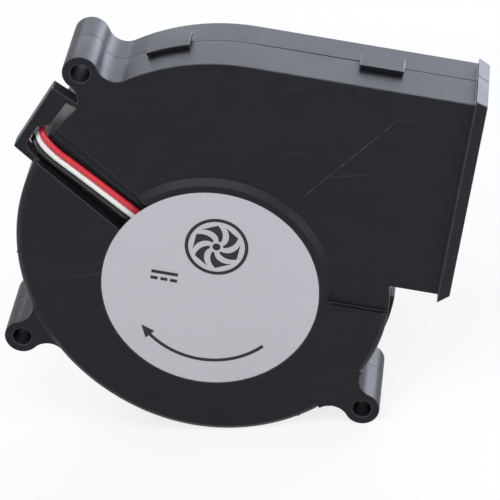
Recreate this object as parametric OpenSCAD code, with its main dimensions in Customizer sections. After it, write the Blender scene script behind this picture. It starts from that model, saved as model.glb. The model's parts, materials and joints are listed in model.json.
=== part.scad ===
// DC blower fan: a moulded volute casing in two shells, an outer-rotor brushless motor on its hub,
// a forward-curved impeller, and three leads in a channel on the motor side.
//
// Frame: the origin lies on the rotor axis in the plane of the labelled face. +Z is up, the rotor
// axis is Y, the labelled motor side looks toward -Y and the inlet toward +Y. The fan stands on the
// lowest line of its scroll and on its lower mounting ear.
//
// The pieces are drawn flat, with the inlet-side face at height 0 and the labelled face at
// case_depth, x toward the outlet and y toward the top of the outlet, and are then stood up.

/* [Casing] */
// Thickness over both shells, from the inlet-side face to the labelled face
case_depth = 22; // [20:0.5:26]
// Step from the raised lower face down to the face above it
face_step = 1.3; // [0.8:0.1:1.6]
// Thickness of the flat plates of the shells
plate = 1.8; // [1.4:0.1:2.2]
// Thickness of the side wall round the scroll and the outlet
side_wall = 2; // [1.6:0.1:2.4]
// Height of the seam between the shells
seam_height = 9; // [8:0.5:10]
// Distance from the rotor axis to the outlet mouth
mouth_x = 52.8; // [50:0.2:60]
// Height of the outlet, outside
outlet_height = 47.8; // [44:0.2:50]
// Height of the aligning lip on the rear shell
lip_height = 1.2; // [0.8:0.1:1.6]

/* [Scroll] */
// Outer radius of the first arc, at the right
scroll_r1 = 36.4; // [36:0.1:38]
// Outer radius of the second arc, at the bottom
scroll_r2 = 41; // [40:0.1:43]
// Outer radius of the third arc, at the lower left
scroll_r3 = 47.8; // [46:0.1:50]
// Outer radius of the fourth arc, from the left to the top
scroll_r4 = 45.5; // [44:0.1:48]
// Width of the rounded rim of the raised face
rim = 1.3; // [0.8:0.1:1.8]
// Radius of the tongue between the scroll and the outlet
tongue_r = 1.8; // [1.4:0.1:2.2]

/* [Mounting ears] */
// Outer radius of an ear
ear_r = 4; // [3.6:0.1:4.6]
// Diameter of the hole through an ear
ear_hole_d = 4.3; // [3.4:0.1:5]
// Distance from the scroll wall out to the axis of an ear
ear_reach = 6; // [5:0.2:7]
// Radius of the fillets beside an ear
ear_fillet = 4.2; // [3:0.2:5]

/* [Outlet barb] */
// Length of the barb along the outlet
barb_length = 2.6; // [2:0.1:4]
// Height of the barb over the outlet's top and bottom
barb_rise = 1.4; // [0.8:0.1:1.8]

/* [Snap tabs] */
// Length of a tab round the casing
tab_width = 9.6; // [8:0.2:12]
// How far a tab stands proud of the wall
tab_proud = 1.1; // [1:0.1:1.5]
// How far a tab laps over the front shell
tab_lap = 3.7; // [3:0.1:5]
// How far a tab is rooted on the rear shell
tab_root = 3; // [2:0.1:4]

/* [Hub and label] */
// Radius of the hub's flat top
hub_r = 26; // [25.5:0.1:26.5]
// Radius of the foot of the hub's sloping wall
hub_foot_r = 27.4; // [27:0.1:28]
// Thickness of the hub plate
hub_plate = 2.6; // [2.2:0.1:2.8]
// Radius of the label
label_r = 24.4; // [22:0.1:25]
// Thickness of the label
label_t = 0.14; // [0.1:0.02:0.2]

/* [Lead channel and bracket] */
// Direction of the channel from the rotor axis, degrees
channel_angle = 146.5; // [145:0.5:148]
// Width of the deep part of the channel
channel_w = 6.6; // [6:0.1:7]
// Width of the ledge along the upper side of the channel
ledge_w = 2.1; // [1.6:0.1:2.4]
// Depth of the channel below the labelled face
channel_depth = 3.4; // [3:0.1:3.6]
// Depth of the ledge below the labelled face
ledge_depth = 2.3; // [2:0.1:2.6]
// Thickness of the bracket that holds the leads
bracket_t = 3.8; // [3:0.1:4.2]

/* [Inlet] */
// Radius of the inlet opening at its throat
inlet_r = 27; // [26:0.1:28]
// Radius of the rounded mouth of the inlet
inlet_round = 1.8; // [1:0.1:2]

/* [Impeller] */
// Number of blades
blade_count = 35; // [25:1:41]
// Radius of the blade tips
blade_tip_r = 33; // [32:0.1:33.4]
// Radius of the inner blade edges
blade_root_r = 27.2; // [26.4:0.1:28]
// Thickness of a blade
blade_t = 0.9; // [0.7:0.05:1.2]
// Thickness of the back disc
disc_t = 1.2; // [1:0.1:1.6]
// Thickness of the plastic over the rotor cup
cap_t = 1.4; // [1.2:0.1:1.8]
// Gap between the impeller ring and the rear plate
ring_gap = 1.4; // [1:0.1:2]

/* [Motor] */
// Outer radius of the steel rotor cup
cup_r = 20; // [19.6:0.1:20.4]
// Wall of the rotor cup
cup_t = 1; // [0.9:0.1:1.3]
// Radial thickness of the ring magnet
magnet_t = 3.1; // [2.6:0.1:3.2]
// Length of the ring magnet
magnet_h = 7.4; // [6.6:0.1:7.8]
// Air gap between magnet and stator
air_gap = 0.6; // [0.4:0.05:0.8]
// Height of the stack of stator laminations
stack_h = 5; // [4:0.1:5.4]
// Width of a stator tooth
tooth_w = 3.6; // [3:0.1:4]
// Thickness of an insulator plate
insulator_t = 0.6; // [0.5:0.05:0.8]
// Thickness of a winding
winding_t = 0.8; // [0.6:0.05:0.9]
// Thickness of the circuit board
board_t = 0.8; // [0.8:0.1:1]
// Radius of the circuit board
board_r = 16.5; // [15.6:0.1:17]

/* [Shaft and bearings] */
// Diameter of the shaft
shaft_d = 3; // [3:0.1:3.2]
// Outer diameter of a ball bearing
bearing_d = 8; // [8:0.1:8.4]
// Width of a ball bearing
bearing_w = 3; // [2.6:0.1:3]
// Outer radius of the bearing tube
tube_r = 5; // [4.8:0.05:5.2]
// Diameter of the bearing balls
ball_d = 1; // [0.9:0.05:1.1]
// Number of balls in a bearing
ball_count = 7; // [6:1:8]

/* [Leads] */
// Diameter of a lead over its insulation
lead_d = 1.4; // [1.2:0.05:1.45]
// Length of the stripped and tinned end of a lead
tip_length = 4; // [3:0.2:5]
// Mean radius of the coil of spare lead
coil_r = 8; // [7.6:0.1:8.4]

/* [Hidden] */
$fn = 96;

// Named clearances
seat_gap = 0.02;       // between pieces that are pressed or glued together
lip_gap = 0.1;         // round the aligning lip and under the snap tabs
ball_gap = 0.05;       // between the balls and the races
winding_gap = 0.15;    // between a winding and the stator's hub and pole shoes
over = 1;              // how far a cut runs past the face that it opens
blend = 0.01;          // how far a fillet bites into the arcs that it joins
core_r = 30;           // radius of the disc under the four sectors of the scroll

// The scroll: four arcs, each tangent to the next, named by their order clockwise from the outlet
seam_step = 0.01;      // every second arc stands this much proud, so that no two arcs nearly touch
arc_r = [scroll_r1 + seam_step, scroll_r2, scroll_r3 + seam_step, scroll_r4];
arc_from = [25, -55, -106, -168];
arc_to = [-55, -106, -168, -270];
function dir(a) = [cos(a), sin(a)];
arc_1 = [3.7, 0.1];
arc_2 = arc_1 + (scroll_r1 - scroll_r2) * dir(arc_to[0]);
arc_3 = arc_2 + (scroll_r2 - scroll_r3) * dir(arc_to[1]);
arc_4 = arc_3 + (scroll_r3 - scroll_r4) * dir(arc_to[2]);
arc_c = [arc_1, arc_2, arc_3, arc_4];
top_y = arc_4.y + scroll_r4;
bottom_y = top_y - outlet_height;

// Heights above the inlet-side face
upper_face = case_depth - face_step;
inner_face = upper_face - plate;
hub_inner = case_depth - hub_plate;
channel_floor = case_depth - channel_depth;
tab_top = seam_height + tab_lap;
tab_foot = seam_height - tab_root;

// Mounting ears: the arc each stands on and its direction from the arc's centre
ear_arc = [3, 2, 0];
ear_dir = [133.8, -143.8, -35.4];
function ear_at(i) = arc_c[ear_arc[i]] + (arc_r[ear_arc[i]] + ear_reach) * dir(ear_dir[i]);
lower_ear = 2;

// The fan stands on the second arc of its scroll and on the lower ear: the tilt that lays both on
// one level line.
rest_span = ear_at(lower_ear) - arc_2;
rest_tilt = 90 + atan2(rest_span.y, rest_span.x)
    - acos((scroll_r2 - ear_r) / norm(rest_span));
function stood_vector(x, y, h) = [x * cos(rest_tilt) + y * sin(rest_tilt), -h,
    -x * sin(rest_tilt) + y * cos(rest_tilt)];
function stood(x, y, h) = [0, case_depth, 0] + stood_vector(x, y, h);
floor_z = stood(arc_2.x, arc_2.y, 0).z - scroll_r2;

// Snap tabs on the arcs: arc and direction; one more stands on the flat top of the outlet
arc_tabs = [[3, 113], [0, -7], [1, -98], [2, -160]];
top_tab_x = 29.2;

// The raised part of the labelled face starts below this line, right of the hub
step_y = 1.1;

// The lead channel in its own direction: along it and across it
channel_low = -2.7;
along = dir(channel_angle);
across = [sin(channel_angle), -cos(channel_angle)];
function in_channel(u, v) = u * along + v * across;
channel_start = 15;
channel_floor_start = 20.5;
channel_end = 60;

// The bracket that bridges the leads where the channel crosses the rim: its place on the fourth
// arc, and its corners from there
bracket_at = arc_4 + scroll_r4 * dir(155);
bracket_points = [[-0.85, -4.56], [-2.25, -3.66], [-3.95, -2.06], [-3.95, -0.76], [-2.25, 3.24],
    [0.45, 4.24], [3.35, 10.24], [5.75, 9.44], [6.55, 10.24],
    [-0.05, 13.44], [-6.85, -2.26], [-1.35, -6.06]];

// Rotor and stator heights; the motor hangs from the labelled face
ring_foot = plate + ring_gap;
ring_t = 1.3;
cap_foot = case_depth - 17.8;
cup_foot = cap_foot + cap_t;
cup_floor = cup_foot + cup_t;
cup_top = case_depth - 6;
disc_foot = case_depth - 7.6;
magnet_top = cup_top - 0.6;
rotor_shell_r = cup_r + cap_t;
magnet_r = cup_r - cup_t - seat_gap;
stator_r = magnet_r - magnet_t - air_gap;
stator_hub_r = tube_r + 2.6;
shoe_t = 1.8;
coil_side = 1.8;
stack_foot = case_depth - 12.6;
stack_top = stack_foot + stack_h;
board_front = hub_inner - 1.6;
board_rear = board_front - board_t;

// Bearing heights: the rear one faces the inlet, the front one faces the hub plate
tube_foot = case_depth - 13.8;
tube_top = hub_inner + 1;
rear_bearing = tube_foot + 0.2;
front_bearing = rear_bearing + bearing_w + 3;
race_t = 0.65;
ball_r = (shaft_d + bearing_d) / 4;
bush_r = 3;
bush_top = cup_floor + 0.6;
shaft_top = front_bearing + bearing_w + 1.3;
clip_foot = front_bearing + bearing_w + 0.2;
clip_t = 0.4;
shoulder_w = 0.6;

// Spare lead: all three leads lie in one flat coil of three layers on the floor behind the fan
lead_pitch = lead_d + 0.05;
coil_turns = 4;
coil_in = coil_r - coil_turns / 2 * lead_pitch;
coil_out = coil_r + coil_turns / 2 * lead_pitch;
coil_h = 3 * lead_pitch;
coil_back = 14.5;
coil_at = [-6, case_depth + coil_back];
tie_t = 0.4;
tie_w = 2;
tie_gap = 0.05;
coil_foot = floor_z + tie_t + tie_gap;

// Route of the middle lead, each point with the direction in which the red lead lies beside it; the
// black lead lies on the other side. Held stretch, drawn flat: from the board along the channel,
// then, from the bracket's place, under the bracket and round to the inlet side.
channel_route = [[[-10, 7.5, 18.5], [0.55, 0.83, 0]], [[-13.1, 9.6, 18.7], [0.55, 0.83, 0]],
    [[-16.6, 11.9, 19.35], [0.55, 0.83, 0]], [[-20.3, 14.3, 19.35], [0.55, 0.83, 0]],
    [[-32.9, 22, 19.35], [0.55, 0.83, 0]]];
rim_route = [[[2.65, -4.16, 19.4], [0.58, 0.81, 0]], [[-0.05, -2.06, 19.4], [0.64, 0.76, 0]],
    [[-1.55, -0.36, 19.1], [0.62, 0.75, 0.2]], [[-2.05, 0.54, 17.8], [0.5, 0.85, 0.25]],
    [[-2.3, 0.94, 15], [0.45, 0.85, 0.2]], [[-2.55, 1.64, 12], [0.45, 0.85, 0.1]],
    [[-2.75, 1.84, 9.5], [0.4, 0.8, -0.2]], [[-3.25, 1.04, 7.5], [0.35, 0.6, -0.7]],
    [[-3.95, -1.06, 6], [0.3, 0.5, -0.8]], [[-4.65, -3.36, 4.5], [0.25, 0.45, -0.85]],
    [[-5.95, -8.06, 1.5], [0.1, 0.4, -0.9]], [[-6.25, -10.66, 0], [0, 0.4, -0.9]]];
// Free stretch, as it hangs behind the fan: across, back from the inlet-side face, and height over
// the floor.
free_route = [[[-41.2, 3.3, 64.8], [0, 1, 0.3]], [[-39.8, 5.8, 57.6], [0, 1, 0.1]],
    [[-38, 7, 48.6], [0, 1, 0]], [[-35.9, 7.4, 40], [0, 1, 0]],
    [[-33.3, 7.4, 30], [0, 1, 0]], [[-30, 7.2, 20], [0, 1, 0]],
    [[-26.4, 6.8, 13.2], [0, 1, 0.2]], [[-22, 6, 8], [0, 0.8, 0.5]],
    [[-17, 4.9, 4.4], [0, 0.4, 0.9]], [[-12, 4.33, 2.65], [0, 0, 1]]];

// ---------------------------------------------------------------- shared shapes

// Stands a flat-drawn piece up on the floor.
module stand() {
    translate([0, case_depth, 0]) rotate([0, rest_tilt, 0]) rotate([90, 0, 0]) children();
}

module wedge_2d(c, from, to) {
    polygon([c, c + 120 * dir(from), c + 160 * dir((from + to) / 2), c + 120 * dir(to)]);
}

// A point on the line on which arc i ends and the next one starts, out mm outside the outline; the
// line before the first arc has the number -1. Neighbours share its points, so they join exactly.
function seam(i, out) = i < 0 ? arc_c[0] + (arc_r[0] + out) * dir(arc_from[0])
    : arc_c[i] + (arc_r[i] + out) * dir(arc_to[i]);

module sector_2d(i) {
    polygon([seam(i - 1, -core_r), seam(i - 1, 90),
        arc_c[i] + 160 * dir((arc_from[i] + arc_to[i]) / 2),
        seam(i, 90), seam(i, -core_r)]);
}

// The scroll's outline, grown or shrunk evenly.
module scroll_2d(grow) {
    circle(r = core_r);
    for (i = [0:3])
        intersection() {
            translate(arc_c[i]) circle(r = arc_r[i] + grow);
            sector_2d(i);
        }
}

// Where a circle that touches both an ear and its arc has its centre; side is 1 or -1.
function fillet_at(i, side) =
    let (c = arc_c[ear_arc[i]], r = arc_r[ear_arc[i]], a = r + ear_fillet, b = ear_r + ear_fillet,
        d = r + ear_reach, s = (a * a - b * b + d * d) / (2 * d), t = sqrt(a * a - s * s))
    c + s * dir(ear_dir[i]) + side * t * dir(ear_dir[i] + 90);

// One ear with its filleted web, without its hole.
module ear_2d(i) {
    translate(ear_at(i)) circle(r = ear_r, $fn = 48);
    difference() {
        polygon([ear_at(i), fillet_at(i, 1), arc_c[ear_arc[i]], fillet_at(i, -1)]);
        for (side = [-1, 1])
            translate(fillet_at(i, side)) circle(r = ear_fillet + blend, $fn = 64);
    }
}

module outline_2d() {
    scroll_2d(0);
    translate([arc_4.x, bottom_y]) square([mouth_x - arc_4.x, outlet_height]);
    for (i = [0:2]) ear_2d(i);
}

// The air space in plan, inside a wall of the given thickness, with the duct open to reach_x.
module cavity_2d(wall, reach_x) {
    difference() {
        union() {
            scroll_2d(-wall);
            translate([arc_4.x, bottom_y + wall])
                square([reach_x - arc_4.x, outlet_height - 2 * wall]);
        }
        translate([arc_1.x + scroll_r1 - 3, bottom_y + side_wall - 0.5])
            circle(r = tongue_r - side_wall + wall, $fn = 48);
    }
}

module ear_holes() {
    for (i = [0:2])
        translate(ear_at(i)) translate([0, 0, -over])
            cylinder(h = case_depth + 2 * over, d = ear_hole_d, $fn = 48);
}

// A barb round the outlet mouth: a mitred block that slopes down to the mouth.
module barb_block() {
    x0 = mouth_x - barb_length;
    intersection() {
        linear_extrude(case_depth)
            polygon([[x0, bottom_y - barb_rise], [mouth_x, bottom_y], [mouth_x, top_y],
                [x0, top_y + barb_rise]]);
        translate([0, top_y + 2 * barb_rise, 0]) rotate([90, 0, 0])
            linear_extrude(outlet_height + 4 * barb_rise)
                polygon([[x0, 0], [mouth_x, 0], [mouth_x, upper_face], [x0, case_depth]]);
    }
}

// A slab across the lead channel: from and to along it, low and high across it.
module channel_slab(from, to, low, high, foot, top) {
    translate([0, 0, foot]) linear_extrude(top - foot)
        polygon([in_channel(from, low), in_channel(to, low), in_channel(to, high),
            in_channel(from, high)]);
}

// ---------------------------------------------------------------- casing

// The raised lower part of the labelled face: the sector between the step and the channel.
module raised_2d() {
    polygon([[0, step_y], [90, step_y], [90, -90], [-90, -90], in_channel(110, channel_low),
        in_channel(0, channel_low)]);
}

// The raised face with its rounded rim, as a ring of cones on the scroll's arcs.
module raised_face() {
    intersection() {
        union() {
            cylinder(h = case_depth, r = core_r);
            for (i = [0:3])
                intersection() {
                    translate(concat(arc_c[i], 0)) rotate_extrude()
                        polygon([[0, inner_face], [arc_r[i], inner_face], [arc_r[i], upper_face],
                            [arc_r[i] - rim * 0.3, case_depth - face_step * 0.45],
                            [arc_r[i] - rim, case_depth], [0, case_depth]]);
                    linear_extrude(case_depth) sector_2d(i);
                }
        }
        translate([0, 0, inner_face]) linear_extrude(case_depth) raised_2d();
    }
    translate([0, 0, inner_face]) linear_extrude(case_depth - inner_face) ear_2d(lower_ear);
}

// A catch on the front shell that a snap tab holds, on an arc.
module arc_catch(t) {
    i = t[0];
    half = asin(tab_width / 4 / arc_r[i]);
    intersection() {
        translate(concat(arc_c[i], 0)) rotate_extrude()
            polygon([[arc_r[i] - 0.5, tab_top - 2.4], [arc_r[i] + 0.5, tab_top - 2.4],
                [arc_r[i] - 0.1, tab_top - 1], [arc_r[i] - 0.5, tab_top - 1]]);
        linear_extrude(case_depth) wedge_2d(arc_c[i], t[1] - half, t[1] + half);
    }
}

module top_catch() {
    translate([top_tab_x - tab_width / 4, top_y, 0]) rotate([90, 0, 90])
        linear_extrude(tab_width / 2)
            polygon([[-0.5, tab_top - 2.4], [0.5, tab_top - 2.4], [-0.1, tab_top - 1],
                [-0.5, tab_top - 1]]);
}

module casing_front() {
    color([0.17, 0.17, 0.18]) stand() difference() {
        union() {
            difference() {
                union() {
                    translate([0, 0, seam_height]) linear_extrude(upper_face - seam_height)
                        outline_2d();
                    raised_face();
                    translate([0, 0, upper_face])
                        cylinder(h = face_step, r1 = hub_foot_r, r2 = hub_r);
                    intersection() {
                        barb_block();
                        translate([0, -100, seam_height]) cube([100, 200, case_depth]);
                    }
                    for (t = arc_tabs) arc_catch(t);
                    top_catch();
                }
                translate([0, 0, seam_height - over]) linear_extrude(inner_face - seam_height + over)
                    cavity_2d(side_wall, mouth_x + over);
                translate([0, 0, seam_height - over]) linear_extrude(lip_height + lip_gap + over)
                    cavity_2d(side_wall / 2, mouth_x - barb_length);
                translate([0, 0, inner_face - over])
                    cylinder(h = hub_inner - inner_face + over, r = hub_r - side_wall);
                channel_slab(channel_start, channel_end, channel_low, channel_low + channel_w,
                    inner_face - over, case_depth + over);
                channel_slab(channel_start, channel_end, channel_low + channel_w - over,
                    channel_low + channel_w + ledge_w, case_depth - ledge_depth, case_depth + over);
            }
            intersection() {
                channel_slab(channel_floor_start, channel_end, channel_low - 1.2,
                    channel_low + channel_w + ledge_w + 1.2, channel_floor - 1.4, channel_floor);
                linear_extrude(case_depth) scroll_2d(0);
            }
            translate([0, 0, board_front]) cylinder(h = hub_inner - board_front + over, r = tube_r + 1.4);
            translate([0, 0, upper_face - bracket_t]) linear_extrude(bracket_t)
                polygon([for (q = bracket_points) bracket_at + q]);
        }
        translate([0, 0, board_front - over])
            cylinder(h = tube_top - board_front + over, r = tube_r + seat_gap);
        translate([0, 0, case_depth - label_t]) cylinder(h = over, r = label_r + lip_gap);
        ear_holes();
    }
}

// A snap tab on an arc: rooted on the rear shell, lapping over the front one, hollow for its catch.
module arc_tab(t) {
    i = t[0];
    r = arc_r[i];
    half = asin(tab_width / 2 / r);
    pocket = asin((tab_width / 4 + 0.3) / r);
    difference() {
        intersection() {
            translate(concat(arc_c[i], 0)) rotate_extrude()
                polygon([[r - 0.5, tab_foot], [r + 0.4, tab_foot], [r + tab_proud, tab_foot + 0.7],
                    [r + tab_proud, tab_top], [r + lip_gap, tab_top],
                    [r + lip_gap, seam_height - 0.1], [r - 0.5, seam_height - 0.1]]);
            linear_extrude(case_depth) wedge_2d(arc_c[i], t[1] - half, t[1] + half);
        }
        intersection() {
            translate(concat(arc_c[i], 0)) rotate_extrude()
                polygon([[r - 0.4, tab_top - 2.6], [r + 0.65, tab_top - 2.6],
                    [r + 0.65, tab_top - 0.8], [r - 0.4, tab_top - 0.8]]);
            linear_extrude(case_depth) wedge_2d(arc_c[i], t[1] - pocket, t[1] + pocket);
        }
    }
}

module top_tab() {
    translate([top_tab_x, top_y, 0]) rotate([90, 0, 90]) difference() {
        translate([0, 0, -tab_width / 2]) linear_extrude(tab_width)
            polygon([[-0.5, tab_foot], [0.4, tab_foot], [tab_proud, tab_foot + 0.7],
                [tab_proud, tab_top], [lip_gap, tab_top], [lip_gap, seam_height - 0.1],
                [-0.5, seam_height - 0.1]]);
        translate([-0.4, tab_top - 2.6, -tab_width / 4 - 0.3]) cube([1.05, 1.8, tab_width / 2 + 0.6]);
    }
}

module casing_rear() {
    color([0.17, 0.17, 0.18]) stand() difference() {
        union() {
            linear_extrude(seam_height) outline_2d();
            intersection() {
                barb_block();
                translate([0, -100, 0]) cube([100, 200, seam_height]);
            }
            translate([0, 0, seam_height - over]) linear_extrude(over + lip_height) intersection() {
                cavity_2d(side_wall / 2 + lip_gap, mouth_x - barb_length - lip_gap);
                translate([-100, -100]) square([100 + mouth_x - barb_length - lip_gap, 200]);
            }
            for (t = arc_tabs) arc_tab(t);
            top_tab();
        }
        translate([0, 0, plate]) linear_extrude(case_depth) cavity_2d(side_wall, mouth_x + over);
        translate([0, 0, -over]) cylinder(h = plate + 2 * over, r = inlet_r);
        rotate_extrude() difference() {
            translate([0, -over]) square([inlet_r + inlet_round, over + inlet_round]);
            translate([inlet_r + inlet_round, inlet_round]) circle(r = inlet_round, $fn = 64);
        }
        ear_holes();
    }
}

module label() {
    color([0.73, 0.72, 0.75]) stand() translate([0, 0, case_depth - label_t])
        cylinder(h = label_t, r = label_r);
}

// ---------------------------------------------------------------- motor, fixed pieces

module ring(r_out, r_in, foot, top, sides = 96) {
    translate([0, 0, foot]) difference() {
        cylinder(h = top - foot, r = r_out, $fn = sides);
        translate([0, 0, -over]) cylinder(h = top - foot + 2 * over, r = r_in, $fn = sides);
    }
}

// Brass tube with an inner shoulder that keeps the two bearings apart.
module bearing_tube() {
    seat_r = bearing_d / 2 + seat_gap;
    color([0.78, 0.62, 0.3]) stand() difference() {
        ring(tube_r, seat_r - shoulder_w, tube_foot, tube_top, 64);
        translate([0, 0, tube_foot - over]) cylinder(h = rear_bearing + bearing_w - tube_foot + over,
            r = seat_r, $fn = 64);
        translate([0, 0, front_bearing]) cylinder(h = tube_top, r = seat_r, $fn = 64);
    }
}

module both_bearings() {
    for (h = [rear_bearing, front_bearing]) translate([0, 0, h]) children();
}

// The balls' groove in both races, as a ring.
module ball_groove() {
    translate([0, 0, bearing_w / 2]) rotate_extrude($fn = 64)
        translate([ball_r, 0]) circle(r = ball_d / 2 + ball_gap, $fn = 32);
}

module outer_races() {
    color([0.75, 0.76, 0.78]) stand() both_bearings() difference() {
        ring(bearing_d / 2, bearing_d / 2 - race_t, 0, bearing_w, 64);
        ball_groove();
    }
}

module inner_races() {
    color([0.75, 0.76, 0.78]) stand() both_bearings() difference() {
        ring(shaft_d / 2 + seat_gap + race_t, shaft_d / 2 + seat_gap, 0, bearing_w, 64);
        ball_groove();
    }
}

module bearing_balls() {
    color([0.85, 0.85, 0.87]) stand() both_bearings()
        for (i = [0:ball_count - 1])
            rotate([0, 0, i * 360 / ball_count]) translate([ball_r, 0, bearing_w / 2])
                sphere(d = ball_d, $fn = 24);
}

// Crown cages: rings beside the balls with a finger between each pair.
module ball_cages() {
    color([0.8, 0.7, 0.45]) stand() both_bearings() difference() {
        ring(ball_r + 0.3, ball_r - 0.3, bearing_w / 2 - 0.2, bearing_w / 2 + ball_d / 2 + 0.35, 48);
        for (i = [0:ball_count - 1])
            rotate([0, 0, i * 360 / ball_count]) translate([ball_r, 0, bearing_w / 2])
                sphere(d = ball_d + 2 * ball_gap, $fn = 24);
    }
}

module bearing_shields() {
    color([0.7, 0.71, 0.73]) stand() both_bearings()
        for (h = [0.05, bearing_w - 0.25])
            ring(bearing_d / 2 - race_t - seat_gap, shaft_d / 2 + race_t + 0.12, h, h + 0.2, 64);
}

// Stator section: a hub ring, four teeth and their pole shoes.
module stator_2d(shoe_r, width) {
    difference() {
        union() {
            circle(r = stator_hub_r, $fn = 64);
            intersection() {
                circle(r = shoe_r);
                for (a = [0:90:270]) rotate(a) translate([0, -width / 2]) square([shoe_r, width]);
            }
            intersection() {
                difference() {
                    circle(r = shoe_r);
                    circle(r = stator_r - shoe_t);
                }
                for (a = [0:90:270]) wedge_2d([0, 0], a - 40, a + 40);
            }
        }
        circle(r = tube_r + seat_gap, $fn = 64);
    }
}

module stator_core() {
    color([0.5, 0.5, 0.53]) stand() translate([0, 0, stack_foot]) linear_extrude(stack_h)
        stator_2d(stator_r, tooth_w);
}

module insulator_front() {
    color([0.93, 0.93, 0.9]) stand() {
        translate([0, 0, stack_top]) linear_extrude(insulator_t) stator_2d(stator_r - 0.4, tooth_w);
        for (a = [45:90:315])
            rotate([0, 0, a]) translate([tube_r + 1.5, 0, stack_top])
                cylinder(h = board_rear - stack_top, r = 0.9, $fn = 32);
    }
}

module insulator_rear() {
    color([0.93, 0.93, 0.9]) stand() translate([0, 0, stack_foot - insulator_t])
        linear_extrude(insulator_t) stator_2d(stator_r - 0.4, tooth_w);
}

// Four coils of copper wire, one round each tooth.
module windings() {
    inner = tooth_w + 2 * seat_gap;
    foot = stack_foot - insulator_t - seat_gap;
    top = stack_top + insulator_t + seat_gap;
    half = inner / 2 + coil_side;
    start = stator_hub_r + winding_gap;
    length = sqrt(pow(stator_r - shoe_t, 2) - half * half) - winding_gap - start;
    color([0.72, 0.36, 0.16]) stand()
        for (a = [0:90:270])
            rotate([0, 0, a]) translate([start, 0, 0]) difference() {
                translate([0, -half, foot - winding_t])
                    cube([length, 2 * half, top - foot + 2 * winding_t]);
                translate([-over, -inner / 2, foot]) cube([length + 2 * over, inner, top - foot]);
            }
}

module circuit_board() {
    color([0.08, 0.33, 0.18]) stand() difference() {
        ring(board_r, tube_r + 0.3, board_rear, board_front);
        for (i = [0:2]) pin_at(i) cylinder(h = case_depth, r = 0.45, $fn = 24);
    }
}

// Where the three winding pins pass through the board.
module pin_at(i) {
    rotate([0, 0, 250 + 20 * i]) translate([stator_r - 1.2, 0, 0]) children();
}

module terminal_pins() {
    color([0.8, 0.8, 0.78]) stand()
        for (i = [0:2])
            pin_at(i) translate([0, 0, stack_top + insulator_t])
                cylinder(h = board_front + 0.6 - stack_top - insulator_t, r = 0.4, $fn = 24);
}

module driver_chip() {
    color([0.12, 0.12, 0.13]) stand() translate([9.4, -2, board_rear - 1])
        cube([4, 5, 1]);
}

module hall_sensor() {
    color([0.12, 0.12, 0.13]) stand() rotate([0, 0, 45]) translate([board_r - 2.6, -1, board_rear - 0.9])
        cube([2, 2, 0.9]);
}

module capacitor() {
    color([0.7, 0.6, 0.42]) stand() rotate([0, 0, 200]) translate([10, -0.8, board_rear - 0.9])
        cube([3.2, 1.6, 0.9]);
}

// ---------------------------------------------------------------- rotor

function blade_angle(t) = 4 * t - 17 * t * t;
function blade_edge(t, side) =
    let (r = blade_root_r + (blade_tip_r - blade_root_r) * t,
        a = blade_angle(t) + side * blade_t / 2 / r * 180 / PI)
    r * dir(a);

module blade_2d() {
    polygon(concat([for (t = [0:0.2:1]) blade_edge(t, -1)], [for (t = [1:-0.2:0]) blade_edge(t, 1)]));
}

module impeller() {
    cup_hole = cup_r + seat_gap;
    color([0.14, 0.14, 0.15]) stand() difference() {
        union() {
            for (i = [0:blade_count - 1])
                rotate([0, 0, i * 360 / blade_count]) translate([0, 0, ring_foot + 0.3])
                    linear_extrude(disc_foot - ring_foot) blade_2d();
            ring(blade_tip_r + 0.4, blade_tip_r - 1.8, ring_foot, ring_foot + ring_t);
            ring(blade_tip_r + 0.4, cup_r, disc_foot, disc_foot + disc_t);
            translate([0, 0, cap_foot]) rotate_extrude()
                polygon([[0, 0], [rotor_shell_r - 1.2, 0], [rotor_shell_r - 0.3, 0.4],
                    [rotor_shell_r, 1.4], [rotor_shell_r, disc_foot + disc_t - cap_foot],
                    [0, disc_foot + disc_t - cap_foot]]);
        }
        translate([0, 0, cup_foot - seat_gap]) cylinder(h = case_depth, r = cup_hole);
    }
}

module rotor_cup() {
    color([0.62, 0.63, 0.65]) stand() difference() {
        translate([0, 0, cup_foot]) cylinder(h = cup_top - cup_foot, r = cup_r);
        translate([0, 0, cup_floor]) cylinder(h = case_depth, r = cup_r - cup_t);
        translate([0, 0, cup_foot - over]) cylinder(h = 3 * over + cup_t, r = bush_r + seat_gap, $fn = 64);
    }
}

module ring_magnet() {
    color([0.2, 0.18, 0.17]) stand()
        ring(magnet_r, magnet_r - magnet_t, magnet_top - magnet_h, magnet_top);
}

module rotor_bush() {
    color([0.8, 0.65, 0.35]) stand() ring(bush_r, shaft_d / 2 + seat_gap, cup_foot, bush_top, 64);
}

module shaft() {
    color([0.8, 0.81, 0.83]) stand() difference() {
        translate([0, 0, cup_foot]) cylinder(h = shaft_top - cup_foot, d = shaft_d, $fn = 48);
        ring(shaft_d, shaft_d / 2 - 0.2, clip_foot - seat_gap, clip_foot + clip_t + seat_gap, 48);
    }
}

// Wave spring between the rotor bush and the rear bearing's inner race, as two stacked rings.
module preload_spring() {
    foot = bush_top + seat_gap;
    top = rear_bearing - seat_gap;
    mid = (foot + top) / 2;
    spring_in = shaft_d / 2 + 0.15;
    color([0.7, 0.71, 0.73]) stand() {
        ring(spring_in + 0.5, spring_in, foot, foot + 0.25, 48);
        ring(spring_in + 0.5, spring_in, top - 0.25, top, 48);
        for (a = [0:90:270])
            rotate([0, 0, a]) translate([spring_in + 0.05, -0.35, foot + 0.1])
                cube([0.4, 0.7, top - foot - 0.2]);
    }
}

// Snap ring in the groove near the front end of the shaft.
module retaining_clip() {
    color([0.7, 0.71, 0.73]) stand() difference() {
        ring(shaft_d / 2 + 0.8, shaft_d / 2 - 0.2 + seat_gap, clip_foot, clip_foot + clip_t, 48);
        translate([0, -0.9, clip_foot - over]) cube([5, 1.8, clip_t + 2 * over]);
    }
}

// ---------------------------------------------------------------- leads

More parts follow.
